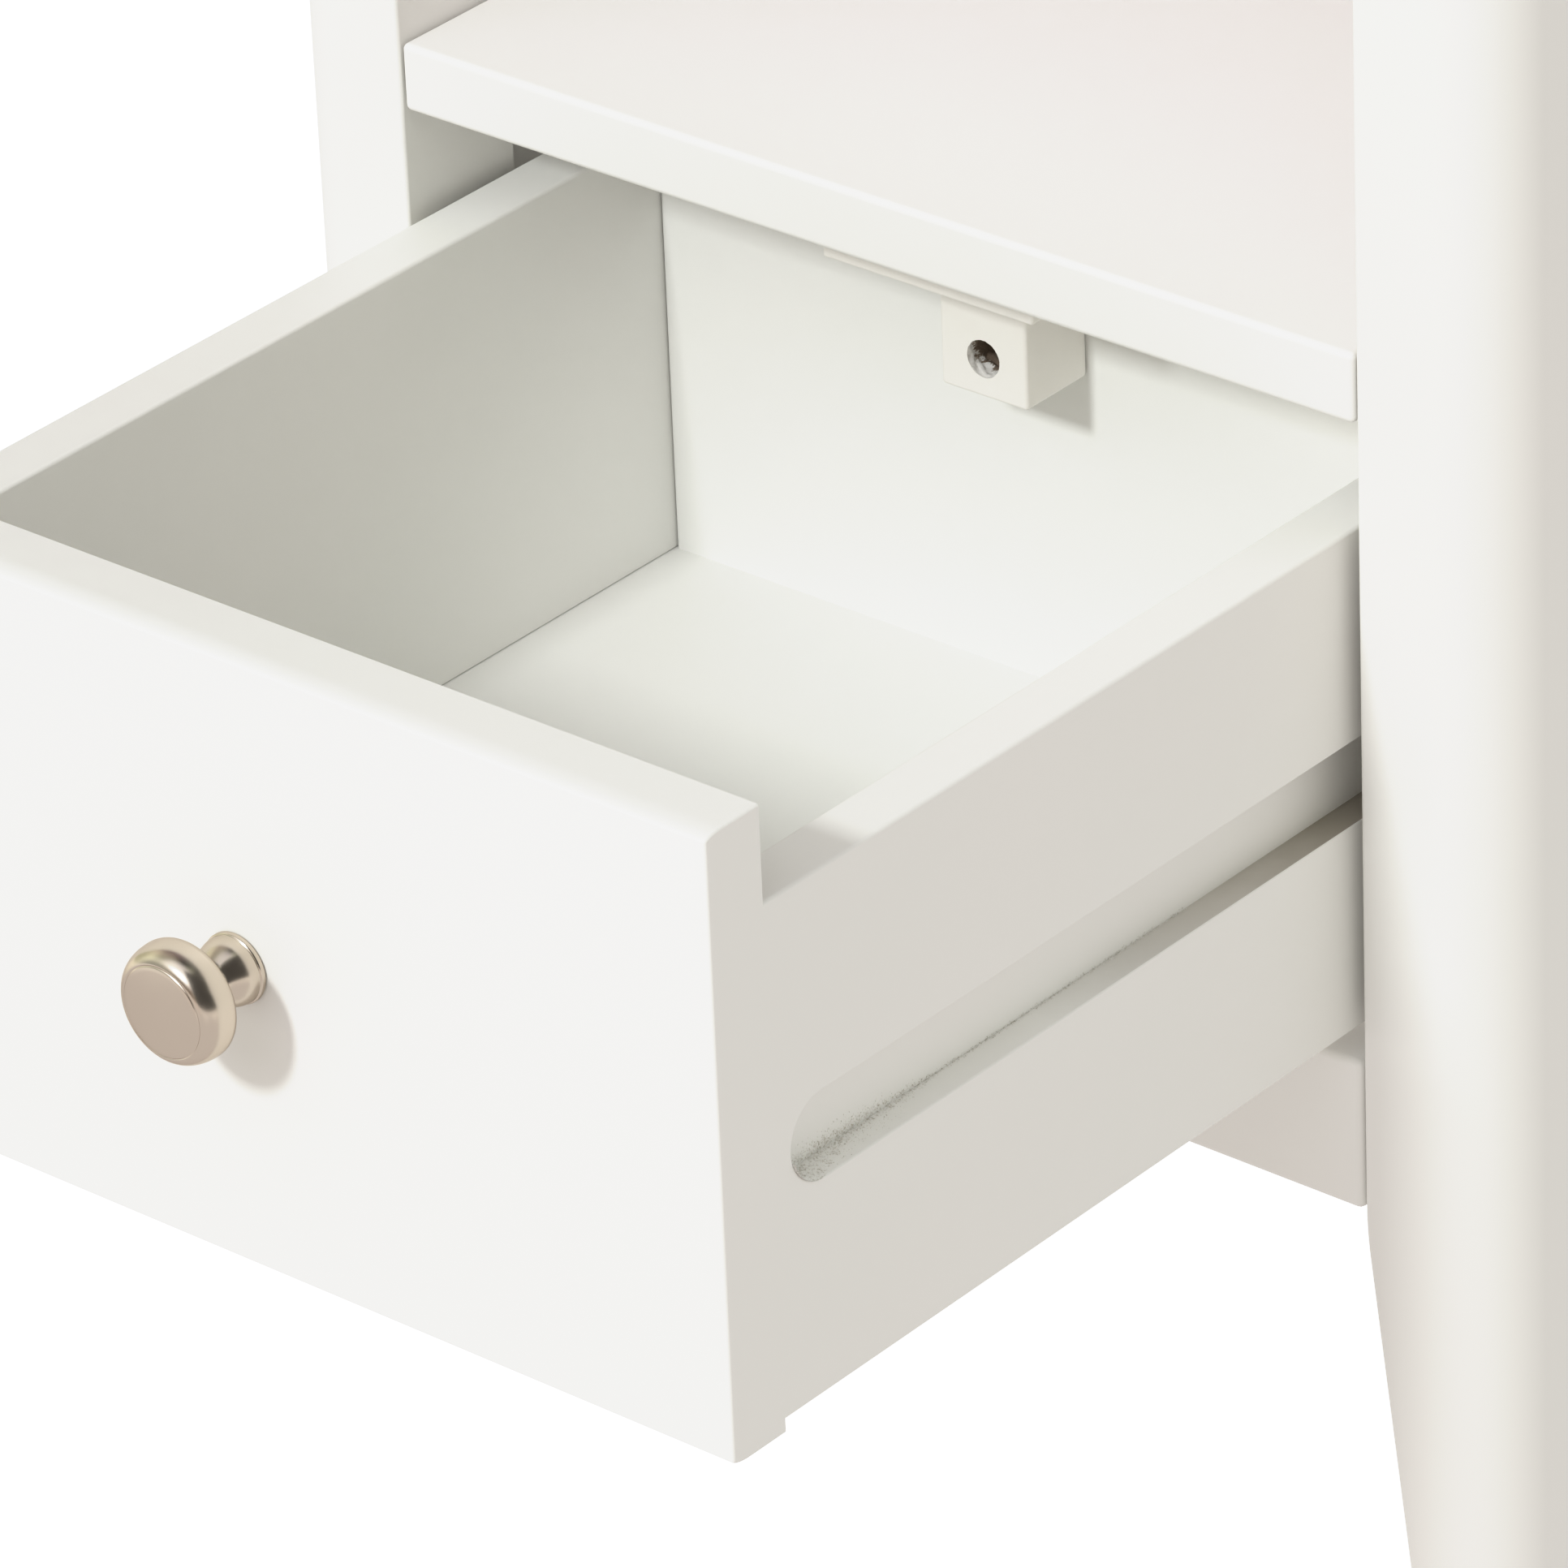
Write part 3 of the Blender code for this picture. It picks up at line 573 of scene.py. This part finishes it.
def drawer_sides():
    """Boards with the runner's groove, which touch the front so that the paint closes the joint."""

    def is_lengthwise(edge):
        return edge.verts[0].co.y != edge.verts[1].co.y

    for side, word in SIDES:
        node = "drawer_side_" + word
        low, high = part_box(node)
        outer = high.x if side > 0 else low.x
        edges = sorted((outer - side * SLOT_DEPTH, outer + side * 5 * MM))
        slot = prism(slot_outline(), 0, *edges)
        low.y = FRONT_HIGH.y
        board = soften(box_mesh(low, high), BOARD_ROUND, chosen=is_lengthwise)
        obj = new_object(node + "_fine", board)
        carve(obj, [slot, grown("drawer_bottom")])
        mesh = bmesh.new()
        mesh.from_mesh(obj.data)
        bmesh.ops.remove_doubles(mesh, verts=mesh.verts, dist=0.01 * MM)

        def at_mouth(edge):
            inside = (abs(vertex.co.z - SLOT_MIDDLE) < SLOT_HEIGHT / 2 + 0.1 * MM for vertex in edge.verts)
            flush = (abs(vertex.co.x - outer) < 0.01 * MM for vertex in edge.verts)
            return all(inside) and all(flush)

        soften(mesh, 0.6 * MM, 3, at_mouth)
        # The groove's ledge faces take the paint with painted shade towards the leg.
        for face in mesh.faces:
            ledge = abs(face.calc_center_median().z - SLOT_MIDDLE + SLOT_HEIGHT / 2) < 0.3 * MM
            face.material_index = int(ledge and face.normal.z > 0.8)
        mesh.to_mesh(obj.data)
        mesh.free()
        obj.data.materials.append(PAINT)
        obj.data.materials.append(LEDGE_SHADE)
        finish(obj, None, "drawer", (node,))


def slot_floor(y):
    """Height of the groove's lower wall at this depth; it climbs in the round front end."""
    ahead = max(SLOT_FRONT + SLOT_HEIGHT / 2 - y, 0)
    return SLOT_MIDDLE - math.sqrt(max((SLOT_HEIGHT / 2) ** 2 - ahead**2, 0))


def slot_back(side):
    """Where the groove's back wall is, across the table."""
    return side * (SIDE_HIGH.x - SLOT_DEPTH)


def smooth(value, low, high):
    """0 below low and 1 above high, with a soft step between."""
    t = min(max((value - low) / (high - low), 0), 1)
    return t * t * (3 - 2 * t)


def fibre_strip(side, word):
    """A nap of raised fibres in the groove's lower corner, wide at its front end and narrow behind."""
    back_x = slot_back(side)
    length, steps, around = 84 * MM, 460, 30
    rings = []
    for i in range(steps + 1):
        along = (i / steps) ** 1.35 * length
        y = SLOT_FRONT + 0.4 * MM + along
        thick = 1 - smooth(along, 34 * MM, 62 * MM)
        thin = 1 - smooth(along, 50 * MM, length)
        climb = (0.7 + 2.4 * thick * (1 - 0.5 * along / length)) * MM
        reach = (0.7 + 6.4 * (1 - smooth(along, 4 * MM, 34 * MM)) + 1.5 * thick) * MM
        ring = []
        for j in range(around + 1):
            across = j / around * 2 - 1
            outward, upward = max(across, 0) * reach, max(-across, 0) * climb
            point = Vector((back_x + side * outward, y, slot_floor(y) + upward))
            nap = noise.fractal(point * 1500, 0.55, 2.3, 4) + 0.5 * noise.noise(point * 380)
            height = max(0.0, nap + 0.12) * 0.42 * MM * (0.35 + 0.65 * thick) * thin
            height *= 1 - abs(across) ** 4
            up = smooth(across, -0.2, 0.2)
            ring.append(point + Vector((side * (1 - up), 0, up)) * (height - 0.05 * MM))
        rings.append(ring)
    mesh = bmesh.new()
    made = [[mesh.verts.new(point) for point in ring] for ring in rings]
    for first, second in zip(made, made[1:]):
        for j in range(around):
            mesh.faces.new((first[j], first[j + 1], second[j + 1], second[j]))
    bmesh.ops.recalc_face_normals(mesh, faces=mesh.faces)
    finish(new_object("groove_fibres_" + word, mesh), RAW, "drawer", flat_faces=False)


def crumbs(side, word):
    """Loose crumbs and hairs of painted fibre, thick at the groove's front end and rare behind."""
    draw = random.Random(7 if side > 0 else 8)
    back_x = slot_back(side)
    count, length = 3200, 150 * MM
    mesh = bmesh.new()
    for _ in range(count):
        along = draw.random() ** 1.7
        y = SLOT_FRONT + 1 * MM + along * length
        thick = 1 - smooth(along, 0.15, 0.42)
        place = Vector((back_x, y, slot_floor(y)))
        if draw.random() < 0.5:
            place.z += min(abs(draw.gauss(0, 1)) * (0.35 + 1.9 * thick), 5) * MM
        else:
            place.x += side * min(abs(draw.gauss(0, 1)) * (0.35 + 3.0 * thick), 7) * MM
        size = draw.uniform(0.05, 0.12) * MM
        shape = Matrix.Diagonal((1, draw.uniform(0.8, 3.4), draw.uniform(0.6, 1.6), 1))
        turn = Matrix.Rotation(draw.uniform(0, 3.1), 4, Vector((draw.random(), draw.random(), draw.random())))
        matrix = Matrix.Translation(place) @ turn @ shape
        bmesh.ops.create_icosphere(mesh, subdivisions=1, radius=size, matrix=matrix)
    finish(new_object("groove_crumbs_" + word, mesh), RAW, "drawer", flat_faces=False)


def knob_profile():
    """(radius, distance) from the foot's bore, round the bell, neck and rim, to the middle of the face."""
    points = [(2.3, 0.0), (8.6, 0.0), (8.8, 0.1), (8.9, 0.35), (8.9, 1.1), (8.8, 1.4), (8.6, 1.52)]
    points += [(8.5, 1.56), (8.46, 1.7)]
    points += curve(points[-1], (8.7, 4.4), (7.0, 6.5), (5.75, 8.8), 14)
    points += curve(points[-1], (4.9, 11.4), (7.3, 12.8), (11.2, 14.1), 16)
    points += curve(points[-1], (14.0, 15.0), (15.0, 16.4), (15.0, 18.2), 12)
    points += curve(points[-1], (15.0, 21.6), (14.1, 24.3), (11.9, 25.25), 18)
    points += [(11.75, 25.29), (11.62, 25.25), (11.52, 25.16), (11.42, 25.18), (11.3, 25.34), (11.15, 25.43)]
    points += curve(points[-1], (8.0, 25.95), (4.0, 26.3), (0, 26.3), 10)
    bore = [(0, 9.5), (2.3, 9.0)]
    return [(radius * MM, distance * MM) for radius, distance in bore + points]


def knob():
    low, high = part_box("knob")
    place = Vector(((low.x + high.x) / 2, high.y, (low.z + high.z) / 2))
    stand_in("knob", turned(knob_profile(), place, (0, -1, 0), 160), NICKEL, flat_faces=False)


def torn_hole(mouth):
    """What is drilled out of the stop block: a wide hole with a torn wall, then one for the shank."""
    radius, depth, shank = 5 * MM, 14 * MM, 2.45 * MM
    start, end, steps = -2 * MM, 30 * MM, 26

    def torn(angle, distance):
        spot = Vector((math.cos(angle) * 3, math.sin(angle) * 3, distance * 900))
        edge = 0.35 if distance < 1 * MM else 1.0
        return 1 + edge * 0.10 * noise.fractal(spot, 0.7, 2.1, 3)

    profile = [(0, start)] + [(radius, start + (depth - start) * i / steps) for i in range(steps + 1)]
    profile += [(radius * 0.75, depth + 0.2 * MM), (shank, depth), (shank, end), (0, end)]
    return turned(profile, mouth, (0, 1, 0), 48, torn)


def stop_block():
    """A block with a drilled hole, whose wall keeps its own material, with painted shade inside the hole."""
    low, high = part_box("stop_block")
    screw_low, screw_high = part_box("stop_screw")
    mouth = Vector(((low.x + high.x) / 2, low.y, (screw_low.z + screw_high.z) / 2))
    obj = new_object("stop_block_fine", soften(box_mesh(low, high), 1.0 * MM))
    cutter_object = new_object("cutter", torn_hole(mouth))
    obj.data.materials.append(CREAM_LIFTED)
    obj.data.materials.append(HOLE_SHADED)
    cutter_object.data.materials.append(HOLE_SHADED)
    modifier = obj.modifiers.new("hole", "BOOLEAN")
    modifier.object = cutter_object
    modifier.solver = "EXACT"
    modifier.material_mode = "TRANSFER"
    bpy.context.view_layer.update()
    graph = bpy.context.evaluated_depsgraph_get()
    obj.data = bpy.data.meshes.new_from_object(obj.evaluated_get(graph), depsgraph=graph)
    obj.modifiers.clear()
    bpy.data.objects.remove(cutter_object)
    finish(obj, None, "stop", ("stop_block",))


# Fasteners and small parts


def recess(radius, depth):
    """The wings of a cross recess, as two crossed wedges pointing along +Z from z = 0."""
    levels = ((-1 * MM, radius, 0.55 * MM), (0, radius, 0.5 * MM), (depth, radius * 0.35, 0.3 * MM))
    rings = []
    for level, half, width in levels:
        corners = ((-half, -width), (half, -width), (half, width), (-half, width))
        rings.append([Vector((x, y, level)) for x, y in corners])
    wings = [loft(rings), loft(rings)]
    bmesh.ops.rotate(wings[1], matrix=Matrix.Rotation(math.radians(90), 3, "Z"), verts=wings[1].verts)
    return wings


def head_comes_first(node, axis, head):
    """Whether the screw's head is at the low end of its axis: its CAD mesh is wide there."""
    low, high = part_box(node)
    middle = (low + high) / 2
    others = [i for i in range(3) if i != axis]
    for vertex in frame["nodes"][node].data.vertices:
        reach = math.dist([vertex.co[i] for i in others], [middle[i] for i in others])
        if vertex.co[axis] < low[axis] + 0.3 * MM and reach > head * 0.8:
            return True
    return False


def screw_profile(head, length, start, tip, pitch):
    """Countersunk head, plain shank to start, finely divided thread to tip, and the point."""
    shank = head / 2
    profile = [(0, 0), (head - 0.1 * MM, 0), (head, 0.12 * MM), (head, 0.45 * MM)]
    profile += [(shank * 1.02, head - shank + 0.6 * MM), (shank, start)]
    count = int((tip - start) / pitch * 8)
    profile += [(shank * 0.999, start + (tip - start) * i / count) for i in range(1, count + 1)]
    return profile + [(shank * 0.55, length - 1.6 * MM), (shank * 0.12, length - 0.05 * MM), (0, length)]


def screw(node, axis):
    """A wood screw with a countersunk cross-recess head and a helical thread. axis is 0, 1 or 2."""
    low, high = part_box(node)
    head = max(high[i] - low[i] for i in range(3) if i != axis) / 2
    length = high[axis] - low[axis]
    forward = head_comes_first(node, axis, head)
    direction = Vector((0, 0, 0))
    direction[axis] = 1 if forward else -1
    place = (low + high) / 2
    place[axis] = low[axis] if forward else high[axis]
    pitch = 1.6 * MM
    start, tip = length * 0.4, length - 4.5 * MM

    def ridge(angle, distance):
        if not start < distance < tip + 0.1 * MM:
            return 1
        phase = (distance / pitch - angle / (2 * math.pi)) % 1
        fade = min(1, (distance - start) / pitch, (tip - distance) / pitch + 0.3)
        return 1 - 0.22 * fade * abs(2 * phase - 1) ** 0.6

    body = turned(screw_profile(head, length, start, tip, pitch), place, direction, 24, ridge)
    turn = Vector((0, 0, 1)).rotation_difference(direction).to_matrix().to_4x4()
    wings = recess(head * 0.55, 1.6 * MM)
    for wing in wings:
        bmesh.ops.transform(wing, matrix=Matrix.Translation(place) @ turn, verts=wing.verts)
    stand_in(node, body, ZINC, wings, flat_faces=False)


def screws():
    for node in sorted(frame["nodes"]):
        if "screw" not in node:
            continue
        low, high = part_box(node)
        size = high - low
        screw(node, max(range(3), key=lambda i: size[i]))


def dowels():
    """Fluted beech dowels with chamfered ends."""
    flutes, chamfer, slope = 14, 0.9 * MM, 1.1 * MM

    def fluted(angle, distance):
        return 1 - 0.03 * (0.5 + 0.5 * math.cos(flutes * angle))

    for node in sorted(frame["nodes"]):
        if "dowel" not in node:
            continue
        low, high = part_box(node)
        size = high - low
        axis = max(range(3), key=lambda i: size[i])
        radius, length = min(size) / 2, size[axis]
        direction = Vector((0, 0, 0))
        direction[axis] = 1
        place = (low + high) / 2
        place[axis] = low[axis]
        slim = radius - chamfer
        profile = [(0, 0), (slim, 0), (radius, slope), (radius, length / 2), (radius, length - slope)]
        profile += [(slim, length), (0, length)]
        stand_in(node, turned(profile, place, direction, 84, fluted), BEECH_X if axis == 0 else BEECH_Y)


def glides():
    """Nail-in glides: a disc with a rounded rim, and its nail."""
    for end in ("front", "rear"):
        for _, word in SIDES:
            node = f"foot_glide_{end}_{word}"
            low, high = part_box(node)
            place = Vector(((low.x + high.x) / 2, (low.y + high.y) / 2, low.z))
            radius = (high.x - low.x) / 2
            nail, top = 2 * MM, high.z - low.z
            rim, disc = 1.2 * MM, 3 * MM
            profile = [(0, 0.15 * MM), (radius * 0.45, 0.1 * MM), (radius * 0.5, 0)]
            profile += arc((radius - rim, rim), rim, -90, 0, 8)
            profile += [(radius, disc - 0.3 * MM), (radius - 0.3 * MM, disc), (nail, disc)]
            profile += [(nail, top - 2 * MM), (0.4 * MM, top), (0, top)]
            stand_in(node, turned(profile, place, (0, 0, 1), 64), PLASTIC)


# Stage


def floor():
    """A plain pale floor that glows. The table neither mirrors it nor is lit by it."""
    mesh = bmesh.new()
    bmesh.ops.create_circle(mesh, cap_ends=True, radius=14.0, segments=96)
    obj = new_object("floor", mesh)
    look = Look("pale_floor", 0.9, specular=0.0)
    look.colour(look.ramp(look.noise(3.0), (0.4, 0.90), (0.6, 0.91)))
    look.shader.inputs["Emission Color"].default_value = (1, 1, 1, 1)
    look.material.cycles.emission_sampling = "NONE"
    look.shader.inputs["Emission Strength"].default_value = 1.9
    obj.data.materials.append(look.material)
    obj.visible_diffuse = False
    obj.visible_glossy = False
    obj.visible_shadow = False


def flag():
    """A dark screen on the camera's side, part of a sphere round the knob, seen only in reflections."""
    low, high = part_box("knob")
    distance, columns = 3.0, 26
    elevations = (-2, 12, 26, 40, 54, 68)
    mesh = bmesh.new()
    made = []
    for i in range(columns + 1):
        column = []
        for elevation in elevations:
            azimuth = 20 + i / columns * (100 + 0.6 * elevation)
            column.append(mesh.verts.new((low + high) / 2 + Vector(toward(azimuth, elevation)) * distance))
        made.append(column)
    for first, second in zip(made, made[1:]):
        for j in range(len(elevations) - 1):
            mesh.faces.new((first[j], first[j + 1], second[j + 1], second[j]))
    obj = new_object("flag", mesh)
    look = Look("dark_cloth", 0.9, specular=0.1)
    look.colour(look.ramp(look.noise(4.0), (0.4, 0.06), (0.6, 0.09)))
    obj.data.materials.append(look.material)
    obj.visible_camera = False
    obj.visible_diffuse = False
    obj.visible_shadow = False


def panel_light(name, source, distance, size, watts, aim=(0, -0.1, 0.3), colour=(1, 1, 1)):
    """A softbox that faces aim, which lies at distance from it; source points from aim to the light."""
    data = bpy.data.lights.new(name, "AREA")
    data.shape = "RECTANGLE"
    data.size, data.size_y = size
    data.energy = watts
    data.color = colour
    obj = bpy.data.objects.new(name, data)
    direction = Vector(source).normalized()
    obj.location = Vector(aim) + direction * distance
    obj.rotation_mode = "QUATERNION"
    obj.rotation_quaternion = direction.to_track_quat("Z", "Y")
    obj.visible_camera = False
    bpy.context.scene.collection.objects.link(obj)


def toward(azimuth, elevation):
    """The direction at an azimuth, 0 in front and 90 to the drawer's right, and an elevation, in degrees."""
    azimuth, elevation = math.radians(azimuth), math.radians(elevation)
    level = math.cos(elevation)
    return math.sin(azimuth) * level, -math.cos(azimuth) * level, math.sin(elevation)


def sky(ground, patches):
    """Soft patches of light, each (azimuth, elevation, colour), over a ground that glows."""
    world = bpy.data.worlds.new("studio")
    bpy.context.scene.world = world
    world.use_nodes = True
    nodes, links = world.node_tree.nodes, world.node_tree.links
    direction = nodes.new("ShaderNodeTexCoord").outputs["Generated"]
    total = None
    rim, core = 0.77, 0.98  # cosines of a patch's outer and inner angles, about 40 and 11 degrees
    lobes = [((0, 0, -1), -0.05, 0.05, ground)]
    lobes += [(toward(azimuth, elevation), rim, core, colour) for azimuth, elevation, colour in patches]
    for axis, start, full, colour in lobes:
        cosine = nodes.new("ShaderNodeVectorMath")
        cosine.operation = "DOT_PRODUCT"
        links.new(direction, cosine.inputs[0])
        cosine.inputs[1].default_value = axis
        patch = nodes.new("ShaderNodeMapRange")
        patch.interpolation_type = "SMOOTHSTEP"
        links.new(cosine.outputs["Value"], patch.inputs["Value"])
        patch.inputs["From Min"].default_value = start
        patch.inputs["From Max"].default_value = full
        tint = nodes.new("ShaderNodeVectorMath")
        tint.operation = "SCALE"
        tint.inputs[0].default_value = colour
        links.new(patch.outputs["Result"], tint.inputs["Scale"])
        if total:
            both = nodes.new("ShaderNodeVectorMath")
            links.new(total, both.inputs[0])
            links.new(tint.outputs[0], both.inputs[1])
            tint = both
        total = tint.outputs[0]
    links.new(total, nodes["Background"].inputs["Color"])


def studio():
    """A key light in front, two small fills, one by the stop block and one over the shelf, and the sky."""
    panel_light("key", (-0.040, -0.820, 0.570), 4.0, (0.40, 0.42), 86.8, colour=(0.963, 1.0, 0.997))
    block_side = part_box("stop_block")[1] - Vector((0, 12, 25)) * MM
    panel_light("inner_fill", (1, -0.22, 0.1), 0.1, (0.03, 0.03), 0.0062, block_side, (1.0, 1.0, 0.93))
    panel_light("cubby_fill", (0, 0, 1), 0.425, (0.24, 0.2), 0.102, (0, 0.1, 0.1), (1.0, 0.81, 0.89))
    sky(
        (0.77, 0.72, 0.70),
        (
            (0, 50, (1.01, 0.99, 1.09)),
            (60, 50, (0.54, 0.56, 0.47)),
            (180, 50, (0.35, 0.35, 0.34)),
            (-120, 50, (0.10, 0.03, 0.07)),
            (-60, 50, (0.40, 0.41, 0.32)),
            (0, 15, (0.15, 0.10, 0.06)),
            (45, 15, (0.33, 0.31, 0.28)),
            (90, 15, (0.36, 0.35, 0.30)),
            (135, 15, (0.80, 0.81, 0.83)),
            (180, 15, (0.62, 0.64, 0.63)),
            (-135, 15, (0.05, 0.00, 0.03)),
            (-90, 15, (0.68, 0.69, 0.51)),
            (-45, 15, (0.42, 0.43, 0.39)),
        ),
    )


def tone():
    """Bright whites roll off softly, as they do on film, and only the floor reaches pure white."""
    view = bpy.context.scene.view_settings
    view.view_transform = "Standard"
    view.use_curve_mapping = True
    mapping = view.curve_mapping
    white = 2.0
    mapping.white_level = (white, white, white)
    points = mapping.curves[3].points
    for light, shown in ((0.80, 0.80), (0.88, 0.855), (1.0, 0.895), (1.25, 0.92)):
        points.new(light / white, shown)
    for point in points:
        point.handle_type = "VECTOR"
    mapping.update()


def camera():
    """The photograph's viewpoint, aim, roll and zoom."""
    azimuth, roll = math.radians(CAMERA_AZIMUTH), math.radians(CAMERA_ROLL)
    back = Vector(toward(CAMERA_AZIMUTH, CAMERA_ELEVATION))
    level = Vector((math.cos(azimuth), math.sin(azimuth), 0))
    upright = back.cross(level)
    right = level * math.cos(roll) + upright * math.sin(roll)
    up = upright * math.cos(roll) - level * math.sin(roll)
    data = bpy.data.cameras.new("camera")
    data.lens, data.sensor_width = CAMERA_LENS, CAMERA_SENSOR
    data.clip_start, data.clip_end = 0.1, 60
    obj = bpy.data.objects.new("camera", data)
    turn = Matrix((right, up, back)).transposed().to_4x4()
    obj.matrix_world = Matrix.Translation(Vector(CAMERA_PLACE)) @ turn
    bpy.context.scene.collection.objects.link(obj)
    bpy.context.scene.camera = obj


camera()
plain_boards()
legs()
shelf()
top_panel()
runners()
drawer_front()
drawer_sides()
for side, word in SIDES:
    fibre_strip(side, word)
    crumbs(side, word)
knob()
stop_block()
screws()
dowels()
glides()
floor()
flag()
studio()
tone()
